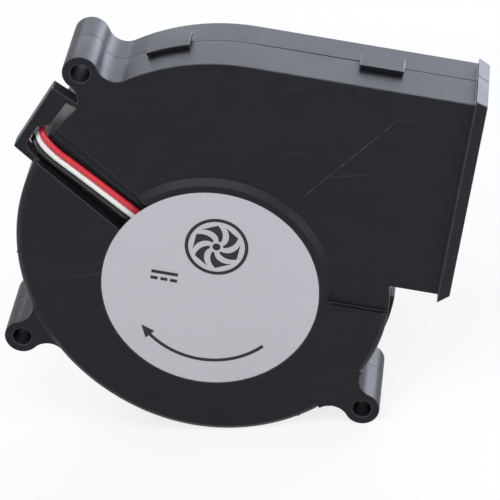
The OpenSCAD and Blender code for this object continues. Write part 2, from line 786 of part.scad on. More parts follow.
function unit(v) = v / norm(v);
held_route = concat(channel_route,
    [for (q = rim_route) [concat(bracket_at + [q[0].x, q[0].y], q[0].z), q[1]]]);
// Heights in the channel keep their depth below the labelled face; those on the side wall spread.
function lead_height(h) = h > 18 ? h + case_depth - 22 : h * (case_depth - 4) / 18;
route = concat(
    [for (q = held_route)
        [stood(q[0].x, q[0].y, lead_height(q[0].z)), stood_vector(q[1].x, q[1].y, q[1].z)]],
    [for (q = free_route) [q[0] + [0, case_depth, floor_z], q[1]]]);
function tangent(i) = unit(route[min(i + 1, len(route) - 1)][0] - route[max(i - 1, 0)][0]);
function beside(i) = let (t = tangent(i), s = route[i][1]) unit(s - (s * t) * t);

// One lead of the three, side by side: place is 1 for red, 0 for white and -1 for black. A round
// tube is swept along its route as one closed solid.
module lead(place) {
    sides = 8;
    n = len(route);
    ring_points = [for (i = [0:n - 1])
        let (s = beside(i), b = cross(s, tangent(i)), p = route[i][0] + place * lead_pitch * s)
        for (k = [0:sides - 1])
            p + lead_d / 2 * (cos(k * 360 / sides) * s + sin(k * 360 / sides) * b)];
    walls = [for (i = [0:n - 2]) for (k = [0:sides - 1])
        [i * sides + k, i * sides + (k + 1) % sides, (i + 1) * sides + (k + 1) % sides,
            (i + 1) * sides + k]];
    ends = [[for (k = [sides - 1:-1:0]) k], [for (k = [0:sides - 1]) (n - 1) * sides + k]];
    polyhedron(points = ring_points, faces = concat(walls, ends), convexity = 4);
}

module lead_red() {
    color([0.85, 0.15, 0.17]) lead(1);
}

module lead_white() {
    color([0.95, 0.95, 0.94]) lead(0);
}

module lead_black() {
    color([0.1, 0.1, 0.11]) lead(-1);
}

module lead_coil() {
    color([0.7, 0.3, 0.3]) translate([coil_at.x, coil_at.y, coil_foot])
        ring(coil_out, coil_in, 0, coil_h);
}

// A strap round all the turns at the left side of the coil.
module coil_tie() {
    from = sqrt(pow(coil_in, 2) - pow(tie_w / 2, 2)) - tie_gap;
    to = coil_out + tie_gap;
    color([0.9, 0.9, 0.88]) translate([coil_at.x, coil_at.y, coil_foot]) mirror([1, 0, 0]) difference() {
        translate([from - tie_t, -tie_w / 2, -tie_gap - tie_t])
            cube([to - from + 2 * tie_t, tie_w, coil_h + 2 * (tie_gap + tie_t)]);
        translate([from, -tie_w, -tie_gap]) cube([to - from, 2 * tie_w, coil_h + 2 * tie_gap]);
    }
}

// Stripped and tinned ends, at the inner end of the coil.
module lead_tips() {
    color([0.8, 0.8, 0.8]) translate([coil_at.x, coil_at.y, coil_foot])
        for (i = [0:2])
            translate([-2.95, -0.5, (i + 0.5) * lead_pitch]) rotate([90, 0, 20])
                cylinder(h = tip_length, d = 0.6, $fn = 24);
}

casing_front();
casing_rear();
label();
bearing_tube();
outer_races();
bearing_shields();
stator_core();
insulator_front();
insulator_rear();
windings();
circuit_board();
driver_chip();
hall_sensor();
capacitor();
terminal_pins();
impeller();
rotor_cup();
ring_magnet();
shaft();
rotor_bush();
inner_races();
preload_spring();
retaining_clip();
bearing_balls();
ball_cages();
lead_red();
lead_white();
lead_black();
lead_coil();
coil_tie();
lead_tips();
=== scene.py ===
# %% [markdown]
# A direct-current blower fan, dressed for a studio picture. The real object is a flat moulded
# casing with a snail-shaped air channel, a small motor on its hub and three thin leads. Its pieces
# come from a construction model; this lesson gives them their finishes, replaces the plain lead
# tubes with real curves, and sets up the floor, the lights and the camera.

# %% Load the construction model
import json
import math

import bpy
from mathutils import Matrix, Vector

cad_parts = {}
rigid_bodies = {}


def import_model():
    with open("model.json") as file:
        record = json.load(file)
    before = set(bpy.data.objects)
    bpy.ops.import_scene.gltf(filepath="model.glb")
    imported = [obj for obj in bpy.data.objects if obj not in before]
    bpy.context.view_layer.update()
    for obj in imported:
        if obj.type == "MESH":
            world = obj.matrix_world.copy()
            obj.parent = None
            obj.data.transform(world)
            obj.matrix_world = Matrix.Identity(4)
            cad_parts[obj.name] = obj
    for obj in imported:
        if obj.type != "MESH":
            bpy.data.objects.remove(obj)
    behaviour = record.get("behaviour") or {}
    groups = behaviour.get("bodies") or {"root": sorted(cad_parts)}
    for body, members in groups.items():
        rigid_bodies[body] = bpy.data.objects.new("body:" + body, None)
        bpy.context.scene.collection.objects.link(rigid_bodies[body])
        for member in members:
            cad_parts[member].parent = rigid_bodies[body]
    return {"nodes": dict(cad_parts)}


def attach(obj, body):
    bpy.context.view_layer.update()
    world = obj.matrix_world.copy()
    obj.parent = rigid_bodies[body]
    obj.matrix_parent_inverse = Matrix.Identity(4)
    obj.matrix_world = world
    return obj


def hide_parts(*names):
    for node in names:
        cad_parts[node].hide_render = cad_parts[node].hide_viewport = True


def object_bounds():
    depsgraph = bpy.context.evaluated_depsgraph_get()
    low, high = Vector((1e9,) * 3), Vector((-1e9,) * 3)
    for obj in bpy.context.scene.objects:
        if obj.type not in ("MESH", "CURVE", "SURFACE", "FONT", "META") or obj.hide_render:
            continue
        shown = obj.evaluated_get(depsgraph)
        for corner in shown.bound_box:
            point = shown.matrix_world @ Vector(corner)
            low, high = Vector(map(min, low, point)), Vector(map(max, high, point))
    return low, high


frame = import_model()
nodes = frame["nodes"]
for spare in [o for o in bpy.data.objects if o.name in ("Cube", "Light", "Camera")]:
    bpy.data.objects.remove(spare)
cad_low, cad_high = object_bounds()
print("pieces in the construction model:", len(nodes))

# %% [markdown]
# The construction model is drawn flat and then stood up on its floor. Two numbers turn a flat place
# into a place in the scene: how thick the fan is and how far it is turned round its axis. The floor
# lies at the lowest point of the model. Flat places are in millimetres and the scene is in metres.

# %% Places of the standing fan
MM = 0.001
DEPTH = 22 * MM
TILT = math.radians(15.0153)
FLOOR_Z = cad_low.z


def stood_vector(x, y, h):
    """A flat direction, in any unit, turned to how the fan stands."""
    return Vector((x * math.cos(TILT) + y * math.sin(TILT), -h,
                   -x * math.sin(TILT) + y * math.cos(TILT)))


def stood(x, y, h):
    """A flat place in millimetres, with h from the inlet side, as a place in the scene."""
    return Vector((0, DEPTH, 0)) + stood_vector(x, y, h) * MM


print("floor at", round(FLOOR_Z, 5), "m; hub at", [round(v, 4) for v in stood(0, 0, 22)])

# %% [markdown]
# A product picture of a small fan is taken with a long lens from some 0.7 m away, from above and a
# little from the right. The camera is built from two angles, a roll, a distance and the place it
# looks at, so each of them can be read and changed.

# %% Camera
AZIMUTH, ELEVATION, ROLL = (math.radians(a) for a in (9.049, 28.596, -7.877))
DISTANCE = 0.6911
LENS = 220.9
aim = Vector((8.434, 11, 3.254)) * MM
back = Vector((math.sin(AZIMUTH) * math.cos(ELEVATION), -math.cos(AZIMUTH) * math.cos(ELEVATION),
               math.sin(ELEVATION)))
right = Vector((math.cos(AZIMUTH), math.sin(AZIMUTH), 0))
up = back.cross(right)
rolled_right = right * math.cos(ROLL) + up * math.sin(ROLL)
rolled_up = up * math.cos(ROLL) - right * math.sin(ROLL)

camera_data = bpy.data.cameras.new("camera")
camera_data.sensor_width = 36
camera_data.lens = LENS
camera = bpy.data.objects.new("camera", camera_data)
bpy.context.scene.collection.objects.link(camera)
camera.matrix_world = Matrix((rolled_right, rolled_up, back)).transposed().to_4x4()
camera.location = aim + back * DISTANCE
bpy.context.scene.camera = camera
print("camera stands at", [round(v, 3) for v in camera.location])

# %% [markdown]
# The three leads leave the circuit board, lie in a channel in the casing, pass under a bracket and
# hang down behind the fan, where the spare length is wound into a small coil. Each lead is one
# curve with a round section. The route is the one of the construction model: a place and, beside
# it, the direction in which the red lead lies next to the white one. The held part is given in
# flat places, and the free part is measured from the floor behind the fan.

# %% Route of the leads
LEAD_D = 1.4    # diameter of a lead, in mm
PITCH = 1.45    # from one lead to the next, in mm
HELD = [((-10, 7.5, 18.5), (0.55, 0.83, 0)), ((-13.1, 9.6, 18.7), (0.55, 0.83, 0)),
        ((-16.6, 11.9, 19.35), (0.55, 0.83, 0)), ((-20.3, 14.3, 19.35), (0.55, 0.83, 0)),
        ((-32.9, 22, 19.35), (0.55, 0.83, 0)), ((-37.9, 25, 19.4), (0.58, 0.81, 0)),
        ((-40.6, 27.1, 19.4), (0.64, 0.76, 0)), ((-42.1, 28.8, 19.1), (0.62, 0.75, 0.2)),
        ((-42.6, 29.7, 17.8), (0.5, 0.85, 0.25)), ((-42.85, 30.1, 15), (0.45, 0.85, 0.2)),
        ((-43.1, 30.8, 12), (0.45, 0.85, 0.1)), ((-43.3, 31, 9.5), (0.4, 0.8, -0.2)),
        ((-43.8, 30.2, 7.5), (0.35, 0.6, -0.7)), ((-44.5, 28.1, 6), (0.3, 0.5, -0.8)),
        ((-45.2, 25.8, 4.5), (0.25, 0.45, -0.85)), ((-46.5, 21.1, 1.5), (0.1, 0.4, -0.9)),
        ((-46.8, 18.5, 0), (0, 0.4, -0.9))]
FREE = [((-41.2, 3.3, 64.8), (0, 1, 0.3)), ((-39.8, 5.8, 57.6), (0, 1, 0.1)),
        ((-38, 7, 48.6), (0, 1, 0)), ((-35.9, 7.4, 40), (0, 1, 0)),
        ((-33.3, 7.4, 30), (0, 1, 0)), ((-30, 7.2, 20), (0, 1, 0)),
        ((-26.4, 6.8, 13.2), (0, 1, 0.2)), ((-22, 6, 8), (0, 0.8, 0.5)),
        ((-17, 4.9, 4.4), (0, 0.4, 0.9)), ((-12, 4.33, 2.65), (0, 0, 1))]
behind = Vector((0, DEPTH, FLOOR_Z))
route = [(stood(*p), stood_vector(*s)) for p, s in HELD]
route += [(behind + Vector(p) * MM, Vector(s)) for p, s in FREE]


def lead_place(i, place):
    """Point i of a lead; place is 1 for red, 0 for white and -1 for black."""
    first, last = route[max(i - 1, 0)][0], route[min(i + 1, len(route) - 1)][0]
    tangent = (last - first).normalized()
    point, beside = route[i]
    beside = (beside - beside.dot(tangent) * tangent).normalized()
    return point + place * PITCH * MM * beside


print("route points on the fan and behind it:", len(route))

# %% [markdown]
# A coil is wound as a hand winds it: each turn lies inside the one before, and steps in by one
# lead just before the next turn begins. The three leads lie over each other, one layer each, and
# leave room for the tie below. A ready-made spiral has no such steps, so each point is worked out
# from its angle.

# %% Coil of spare lead
COIL_AT = Vector((-6, 14.5)) * MM
TURNS = 4
OUTER_R = 8 + 1.5 * PITCH
STEP_START, STEP_SWEEP = 262, 92    # where a turn begins to step in, and over what angle
END_START, END_SWEEP = 185, 95      # where the last turn begins to leave the round
END_STEP = 2.84                     # how far it comes inward there, in mm
TIE_ROOM = 0.45                     # below the lowest layer, in mm
LAST_ANGLE = 360 * (TURNS - 1) + END_START + END_SWEEP


def eased(t):
    """0 to 1, with no kink at either end."""
    t = min(max(t, 0), 1)
    return t * t * (3 - 2 * t)


def coil_radius(angle):
    """Radius in millimetres after angle degrees of winding, from the outside in."""
    steps = sum(eased((angle - 360 * turn - STEP_START) / STEP_SWEEP)
                for turn in range(TURNS - 1))
    leaving = eased((angle - 360 * (TURNS - 1) - END_START) / END_SWEEP)
    return OUTER_R - PITCH * steps - END_STEP * leaving


def coil_points(place):
    """The coil of one lead, counterclockwise seen from above, in the lead's own layer."""
    layer = FLOOR_Z + (TIE_ROOM + (place + 1.5) * PITCH) * MM
    found = []
    for angle in range(0, LAST_ANGLE + 1, 10):
        turn = math.radians(angle - 90)
        radius = coil_radius(angle) * MM
        found.append(Vector((COIL_AT.x + radius * math.cos(turn),
                             DEPTH + COIL_AT.y + radius * math.sin(turn), layer)))
    return found


print("coil radii outside and inside:", coil_radius(0), round(coil_radius(LAST_ANGLE), 2), "mm")

# %% [markdown]
# A soft lead bends evenly between the places that hold it. A Catmull-Rom line does that and still
# passes through every point of the route, which a NURBS curve doesn't. Its length is measured as
# well.

# %% Smooth line through the points
def smooth_line(points, steps):
    """A Catmull-Rom line through all the points, with that many steps between two of them."""
    line = []
    ends = [2 * points[0] - points[1]] + points + [2 * points[-1] - points[-2]]
    for a, b, c, d in zip(ends, ends[1:], ends[2:], ends[3:]):
        for k in range(steps):
            t = k / steps
            line.append(0.5 * ((2 * b) + (c - a) * t + (2 * a - 5 * b + 4 * c - d) * t * t
                               + (3 * b - 3 * c + d - a) * t ** 3))
    return line + [points[-1]]


def line_length(line):
    """The length of a line of points, in their own unit."""
    return sum((b - a).length for a, b in zip(line, line[1:]))


print("white lead on the fan:", round(line_length([stood(*p) for p, s in HELD]) / MM), "mm")

# %% [markdown]
# The insulation of a lead is a soft plastic skin, round and even. A curve with a round bevel gives
# it a true circular section all along, which a mesh tube with few sides wouldn't. The bevel is one
# metre and each point scales it down to the lead: Blender adds the points' radius to a curve's box,
# so this way the box stays as tight as the lead.

# %% Build the three leads
LINE_STEPS = 3


def make_lead(name, place):
    """One lead as a single open curve from the board to the inside of the coil."""
    uncoiled = [lead_place(i, place) for i in range(len(route))]
    line = smooth_line(uncoiled + coil_points(place), LINE_STEPS)
    data = bpy.data.curves.new(name, "CURVE")
    data.dimensions = "3D"
    data.bevel_depth = 1
    data.bevel_resolution = 4
    data.use_fill_caps = True
    spline = data.splines.new("POLY")
    spline.points.add(len(line) - 1)
    for point, at in zip(spline.points, line):
        point.co = (*at, 1)
        point.radius = LEAD_D / 2 * MM
    piece = bpy.data.objects.new(name, data)
    bpy.context.scene.collection.objects.link(piece)
    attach(piece, "casing")
    return piece, line


leads = {}
for name, place in (("red", 1), ("white", 0), ("black", -1)):
    piece, line = make_lead("insulation_" + name, place)
    leads[name] = piece
    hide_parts("lead_" + name)
    print(name, "lead:", round(line_length(line) * 1000), "mm long")
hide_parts("lead_coil")

# %% [markdown]
# Finishes come next. Every finish is procedural: it is computed from the place on the piece, so
# it needs no picture and no unwrapping. Effects that several finishes share are node groups with
# named inputs. A group gives back values only; the shader itself stays in each material.

# %% Small helpers for shader nodes
def new_group(name, inputs, outputs):
    """A shader node group with float inputs and outputs; returns it with its two end nodes."""
    group = bpy.data.node_groups.new(name, "ShaderNodeTree")
    for label, start in inputs:
        socket = group.interface.new_socket(label, in_out="INPUT", socket_type="NodeSocketFloat")
        socket.default_value = start
    for label in outputs:
        group.interface.new_socket(label, in_out="OUTPUT", socket_type="NodeSocketFloat")
    return group, group.nodes.new("NodeGroupInput"), group.nodes.new("NodeGroupOutput")


def add_node(tree, kind, **settings):
    """A new node with its settings; a value whose name is a socket goes to that socket."""
    node = tree.nodes.new(kind)
    for key, value in settings.items():
        if key in node.inputs:
            node.inputs[key].default_value = value
        else:
            setattr(node, key, value)
    return node


def remap(tree, source, low, high, to_low, to_high):
    """source, stretched from low..high to to_low..to_high and clamped there."""
    node = add_node(tree, "ShaderNodeMapRange")
    for key, value in zip((1, 2, 3, 4), (low, high, to_low, to_high)):
        if isinstance(value, bpy.types.NodeSocket):
            tree.links.new(value, node.inputs[key])
        else:
            node.inputs[key].default_value = value
    tree.links.new(source, node.inputs[0])
    return node.outputs[0]


def combine(tree, operation, a, b):
    """A Math node of two sockets or numbers."""
    node = add_node(tree, "ShaderNodeMath", operation=operation)
    for socket, value in zip(node.inputs, (a, b)):
        if isinstance(value, bpy.types.NodeSocket):
            tree.links.new(value, socket)
        else:
            socket.default_value = value
    return node.outputs[0]


print("helpers:", [f.__name__ for f in (new_group, add_node, remap, combine)])

# %% [markdown]
# Moulded plastic is never one even colour. The skin has a fine spark-eroded grain, the pigment is
# a little cloudy, and handling leaves hairline scratches. Three groups make these effects. Sizes go
# in as millimetres and are turned into a noise scale, which counts per metre. The hairlines are
# noise that is stretched along one direction, laid over the piece twice at two angles.

# %% Group: fine grain of a moulded skin
grain_group, g_in, g_out = new_group(
    "moulded_grain", [("Size", 0.4), ("Unevenness", 0.5)], ["Height", "Shade"])
where = add_node(grain_group, "ShaderNodeTexCoord").outputs["Object"]
per_metre = combine(grain_group, "DIVIDE", 1000, g_in.outputs["Size"])
fine = add_node(grain_group, "ShaderNodeTexNoise", Detail=3, Roughness=0.6)
grain_group.links.new(where, fine.inputs["Vector"])
grain_group.links.new(per_metre, fine.inputs["Scale"])
pits = add_node(grain_group, "ShaderNodeTexVoronoi", feature="SMOOTH_F1", Smoothness=0.8)
grain_group.links.new(where, pits.inputs["Vector"])
grain_group.links.new(combine(grain_group, "MULTIPLY", per_metre, 0.7), pits.inputs["Scale"])
height = combine(grain_group, "ADD", fine.outputs["Fac"],
                 combine(grain_group, "MULTIPLY", pits.outputs["Distance"], 0.6))
grain_group.links.new(height, g_out.inputs["Height"])
spread = combine(grain_group, "MULTIPLY",
                 combine(grain_group, "SUBTRACT", fine.outputs["Fac"], 0.5),
                 g_in.outputs["Unevenness"])
grain_group.links.new(combine(grain_group, "ADD", spread, 1), g_out.inputs["Shade"])
print("group", grain_group.name, "with", len(grain_group.nodes), "nodes")

# %% Group: slow clouds in the colour and the gloss
cloud_group, c_in, c_out = new_group("cloudiness", [("Size", 12), ("Strength", 0.3)], ["Shade"])
where = add_node(cloud_group, "ShaderNodeTexCoord").outputs["Object"]
cloud = add_node(cloud_group, "ShaderNodeTexNoise", Detail=5, Roughness=0.65, Distortion=0.4)
cloud_group.links.new(where, cloud.inputs["Vector"])
cloud_group.links.new(combine(cloud_group, "DIVIDE", 1000, c_in.outputs["Size"]),
                      cloud.inputs["Scale"])
drift = combine(cloud_group, "MULTIPLY",
                combine(cloud_group, "SUBTRACT", cloud.outputs["Fac"], 0.5),
                c_in.outputs["Strength"])
cloud_group.links.new(combine(cloud_group, "ADD", drift, 1), c_out.inputs["Shade"])
print("group", cloud_group.name, "with", len(cloud_group.nodes), "nodes")

# %% Group: hairline scratches and rubbed streaks
LINES_ALONG, LINES_DEEP = 40, 700    # how often the noise changes in a metre
scratch_group, s_in, s_out = new_group("hairlines", [("Amount", 0.3)], ["Mask"])
where = add_node(scratch_group, "ShaderNodeTexCoord").outputs["Object"]
masks = []
for turn, stretch in ((0.6, 18), (-1.1, 26)):
    turned = add_node(scratch_group, "ShaderNodeMapping")
    turned.inputs["Rotation"].default_value = (0, turn, 0)
    turned.inputs["Scale"].default_value = (LINES_ALONG, LINES_DEEP, LINES_ALONG * stretch)
    streak = add_node(scratch_group, "ShaderNodeTexNoise", Scale=1, Detail=2, Roughness=0.5)
    scratch_group.links.new(where, turned.inputs["Vector"])
    scratch_group.links.new(turned.outputs["Vector"], streak.inputs["Vector"])
    masks.append(remap(scratch_group, streak.outputs["Fac"], 0.66, 0.76, 0, 1))
both = combine(scratch_group, "MAXIMUM", *masks)
scratch_group.links.new(combine(scratch_group, "MULTIPLY", both, s_in.outputs["Amount"]),
                        s_out.inputs["Mask"])
print("group", scratch_group.name, "with", len(scratch_group.nodes), "nodes")

# %% [markdown]
# One function lays the three effects over a Principled shader. Each finish calls it with its own
# colour, gloss and grain, so that all finishes of the fan belong together but none is the same.

# %% A finish from its colour, gloss and grain
def place_group(tree, group, **values):
    """A node that holds a group, with its inputs set."""
    node = add_node(tree, "ShaderNodeGroup", node_tree=group)
    for label, value in values.items():
        node.inputs[label].default_value = value
    return node


def finish_of(name, colour, roughness, metallic=0.0, specular=0.5, grain=0.4, bump=0.15,
              cloud=12, cloudy=0.3, scratched=0.2, gloss_spread=0.2, wear=(0.5, 0.5, 0.52),
              sheen=(1, 1, 1)):
    """A procedural material: colour is linear red, green and blue; grain and cloud are in mm."""
    material = bpy.data.materials.new(name)
    material.use_nodes = True
    tree = material.node_tree
    tree.nodes.clear()
    shader = add_node(tree, "ShaderNodeBsdfPrincipled", Metallic=metallic)
    shader.inputs["Specular IOR Level"].default_value = specular
    shader.inputs["Specular Tint"].default_value = (*sheen, 1)
    grained = place_group(tree, grain_group, Size=grain, Unevenness=0.35)
    clouded = place_group(tree, cloud_group, Size=cloud, Strength=cloudy)
    lines = place_group(tree, scratch_group, Amount=scratched)

    shade = combine(tree, "MULTIPLY", grained.outputs["Shade"], clouded.outputs["Shade"])
    tint = add_node(tree, "ShaderNodeMix", data_type="RGBA", blend_type="MULTIPLY")
    tint.inputs["Factor"].default_value = 1
    tint.inputs["A"].default_value = (*colour, 1)
    grey = add_node(tree, "ShaderNodeCombineColor")
    for channel in grey.inputs:
        tree.links.new(shade, channel)
    tree.links.new(grey.outputs[0], tint.inputs["B"])
    worn = add_node(tree, "ShaderNodeMix", data_type="RGBA")
    worn.inputs["B"].default_value = (*wear, 1)
    tree.links.new(lines.outputs["Mask"], worn.inputs["Factor"])
    tree.links.new(tint.outputs["Result"], worn.inputs["A"])
    tree.links.new(worn.outputs["Result"], shader.inputs["Base Color"])

    uneven = combine(tree, "SUBTRACT", clouded.outputs["Shade"], 1)
    rough = combine(tree, "ADD", combine(tree, "MULTIPLY", uneven, gloss_spread), roughness)
    tree.links.new(rough, shader.inputs["Roughness"])
    relief = add_node(tree, "ShaderNodeBump", Strength=bump, Distance=grain * 0.12 * MM)
    tree.links.new(grained.outputs["Height"], relief.inputs["Height"])
    tree.links.new(relief.outputs["Normal"], shader.inputs["Normal"])
    output = add_node(tree, "ShaderNodeOutputMaterial")
    tree.links.new(shader.outputs["BSDF"], output.inputs["Surface"])
    return material


def dress(names, material):
    """Gives construction nodes their finish."""
    for name in names:
        slots = nodes[name].data.materials
        slots.clear()
        slots.append(material)


print("groups in a finish:", grain_group.name, cloud_group.name, scratch_group.name)

# %% [markdown]
# The casing is one black glass-filled thermoplastic: satin, slightly blue where it reflects the
# sky of the studio, with a fine even grain. The impeller is moulded from the same family but in a
# polished tool, so it is a little smoother. The motor's insulators and the coil's tie are nylon.

# %% Plastics
casing_black = finish_of("satin_black_moulding", (0.0070, 0.0070, 0.0090), 0.44, specular=0.22,
                         grain=0.35, bump=0.5, cloud=14, cloudy=0.5, scratched=0.08,
                         gloss_spread=0.25, wear=(0.12, 0.12, 0.13), sheen=(0.86, 0.9, 1))
impeller_black = finish_of("smooth_black_moulding", (0.016, 0.016, 0.017), 0.38, specular=0.4,
                           grain=0.25, bump=0.25, cloud=9, cloudy=0.4, scratched=0.04,
                           wear=(0.1, 0.1, 0.1))
nylon_white = finish_of("insulator_nylon", (0.80, 0.79, 0.74), 0.5, grain=0.3, bump=0.15,
                        cloud=5, cloudy=0.12, scratched=0.03)
strap_white = finish_of("tie_nylon", (0.78, 0.78, 0.76), 0.42, grain=0.2, bump=0.2, cloud=3,
                        cloudy=0.12, scratched=0.08, wear=(0.6, 0.6, 0.6))
dress(["casing_front", "casing_rear"], casing_black)
dress(["impeller"], impeller_black)
dress(["insulator_front", "insulator_rear"], nylon_white)
dress(["coil_tie"], strap_white)
print("plastics:", [m.name for m in (casing_black, impeller_black, nylon_white, strap_white)])

# %% [markdown]
# Two streams of hot plastic met in the raised face and left a flow line: a hair-thin, broken,
# paler streak from the hub toward the outlet's corner. It belongs to the casing alone, so it goes
# straight into that material. A mapping lays its first axis along the streak, and four more masks
# bound it: breaks in the streak, a short soft start, a longer soft end, and the face's depth.

# %% Flow line in the casing's face
def streak_on(material, start, end, height, width, colour):
    """A broken pale line between two flat places in millimetres; the width is in metres."""
    tree = material.node_tree
    first, last = stood(*start, height), stood(*end, height)
    turned = add_node(tree, "ShaderNodeMapping", vector_type="TEXTURE")
    turned.inputs["Location"].default_value = first
    turned.inputs["Rotation"].default_value = (
        0, math.atan2(first.z - last.z, last.x - first.x), 0)
    along, deep, across = add_node(tree, "ShaderNodeSeparateXYZ").outputs
    tree.links.new(add_node(tree, "ShaderNodeTexCoord").outputs["Object"], turned.inputs["Vector"])
    tree.links.new(turned.outputs["Vector"], along.node.inputs[0])
    breaks = add_node(tree, "ShaderNodeTexNoise", Scale=420, Detail=3, Roughness=0.7)
    tree.links.new(turned.outputs["Vector"], breaks.inputs["Vector"])
    waver = combine(tree, "MULTIPLY", combine(tree, "SUBTRACT", breaks.outputs["Fac"], 0.5), width)
    off = combine(tree, "ABSOLUTE", combine(tree, "ADD", across, waver), 0)
    mask = remap(tree, off, width * 0.3, width, 0.85, 0)
    for part in (remap(tree, breaks.outputs["Fac"], 0.4, 0.62, 0.12, 1),
                 remap(tree, along, 0, 3 * MM, 0, 1),
                 remap(tree, along, (last - first).length - 8 * MM, (last - first).length, 1, 0),
                 remap(tree, combine(tree, "ABSOLUTE", deep, 0), 0.5 * MM, 0.8 * MM, 1, 0)):
        mask = combine(tree, "MULTIPLY", mask, part)
    shader = next(n for n in tree.nodes if n.type == "BSDF_PRINCIPLED")
    streaked = add_node(tree, "ShaderNodeMix", data_type="RGBA")
    streaked.inputs["B"].default_value = (*colour, 1)
    tree.links.new(mask, streaked.inputs["Factor"])
    tree.links.new(shader.inputs["Base Color"].links[0].from_socket, streaked.inputs["A"])
    tree.links.new(streaked.outputs["Result"], shader.inputs["Base Color"])
    return (last - first).length


flow_length = streak_on(casing_black, start=(16, 25), end=(36.5, 51.5), height=20.7,
                        width=0.00016, colour=(0.07, 0.066, 0.066))
print("flow line:", round(flow_length / MM), "mm long")

# %% [markdown]
# The motor is hidden in the casing, but a model may be opened, so its metals are finished as well.
# Each is a fully metallic shader whose gloss tells how it was made: drawn steel for the rotor cup,
# ground steel for the shaft, races and balls, spring steel for the thin parts, and turned brass
# for the tube, bush and ball cages. The varnish on the core's laminations makes it less metallic.

# %% Metals of the motor
steel_cup = finish_of("drawn_steel", (0.42, 0.42, 0.43), 0.34, metallic=1, grain=0.15, bump=0.12,
                      cloud=6, cloudy=0.25, scratched=0.35, wear=(0.62, 0.62, 0.63))
ground_steel = finish_of("ground_steel", (0.62, 0.62, 0.63), 0.16, metallic=1, grain=0.1, bump=0.05,
                         cloud=3, cloudy=0.15, scratched=0.25, wear=(0.75, 0.75, 0.76))
spring_steel = finish_of("spring_steel", (0.45, 0.45, 0.47), 0.28, metallic=1, grain=0.1, bump=0.08,
                         cloud=2, cloudy=0.3, scratched=0.2, wear=(0.6, 0.6, 0.62))
core_steel = finish_of("varnished_laminations", (0.16, 0.16, 0.17), 0.42, metallic=0.7, grain=0.35,
                       bump=0.3, cloud=4, cloudy=0.5, scratched=0.25, wear=(0.4, 0.4, 0.41))
brass = finish_of("turned_brass", (0.60, 0.43, 0.18), 0.24, metallic=1, grain=0.12, bump=0.08,
                  cloud=3, cloudy=0.25, scratched=0.25, wear=(0.75, 0.6, 0.32))
tin = finish_of("tinned_copper", (0.60, 0.60, 0.60), 0.3, metallic=1, grain=0.15, bump=0.25,
                cloud=1.5, cloudy=0.4, scratched=0.15, wear=(0.7, 0.7, 0.7))
dress(["rotor_cup"], steel_cup)
dress(["shaft", "bearing_balls", "inner_races", "outer_races"], ground_steel)
dress(["bearing_shields", "preload_spring", "retaining_clip"], spring_steel)
dress(["stator_core"], core_steel)
dress(["bearing_tube", "rotor_bush", "ball_cages"], brass)
dress(["terminal_pins", "lead_tips"], tin)
print("metals:", [m.name for m in (steel_cup, ground_steel, spring_steel, core_steel, brass, tin)])

# %% [markdown]
# The ring magnet is a matt ferrite, the windings are enamelled copper wire, and the board wears a
# green mask and carries a chip, a sensor and a capacitor. The wire itself is too fine to model, so
# a strong bump stands for it.

# %% Magnet, copper, board and chips
magnet_grey = finish_of("bonded_ferrite", (0.045, 0.043, 0.042), 0.62, grain=0.3, bump=0.4, cloud=3,
                        cloudy=0.5, scratched=0.15, wear=(0.15, 0.15, 0.15))
copper = finish_of("enamelled_copper", (0.50, 0.17, 0.06), 0.26, metallic=1, grain=0.22, bump=0.9,
                   cloud=2, cloudy=0.45, scratched=0.1, wear=(0.7, 0.35, 0.15))
board_green = finish_of("solder_mask_green", (0.012, 0.09, 0.035), 0.3, grain=0.5, bump=0.2, cloud=5,
                        cloudy=0.35, scratched=0.1, wear=(0.25, 0.32, 0.2))
chip_black = finish_of("moulded_epoxy", (0.02, 0.02, 0.021), 0.55, grain=0.15, bump=0.3, cloud=2,
                       cloudy=0.3, scratched=0.08, wear=(0.2, 0.2, 0.2))
ceramic_tan = finish_of("capacitor_ceramic", (0.42, 0.29, 0.16), 0.45, grain=0.15, bump=0.15,
                        cloud=1, cloudy=0.3, scratched=0.05)
dress(["ring_magnet"], magnet_grey)
dress(["windings"], copper)
dress(["circuit_board"], board_green)
dress(["driver_chip", "hall_sensor"], chip_black)
dress(["capacitor"], ceramic_tan)
print("board and coils:", [m.name for m in (magnet_grey, copper, board_green, chip_black,
                                            ceramic_tan)])

# %% [markdown]
# A mould has no perfectly sharp corners, and a black part is read by the thin bright lines on its
# edges. The construction model comes with its faces apart, so a weld modifier joins them first and a
# bevel modifier then rounds every real corner by a fraction of a millimetre. The narrow new faces
# get the second material, a paler one that paints a highlight along each edge. The hub's sloping
# wall meets its neighbours at 43 degrees and keeps its plain edges, so the bevel's limit is above
# that. An edge split keeps them crisp, and weighted normals leave the long flat walls without
# shading of their own.

# %% Rounded edges of the casing, with a painted highlight
# A paler black that paints a highlight along each rounded edge of the casing.
edge_highlight_paint = finish_of("painted_edge_highlight", (0.028, 0.028, 0.033), 0.4, specular=0.4, grain=0.25,
                      bump=0.3, cloud=5, cloudy=0.8, scratched=0.1, wear=(0.12, 0.12, 0.13))
BEVEL_ABOVE, SPLIT_ABOVE = math.radians(48), math.radians(38)
EDGE_WIDTH = 0.18     # width of a rounded corner, in mm
JOIN_WITHIN = 0.002   # corners this near in mm become one


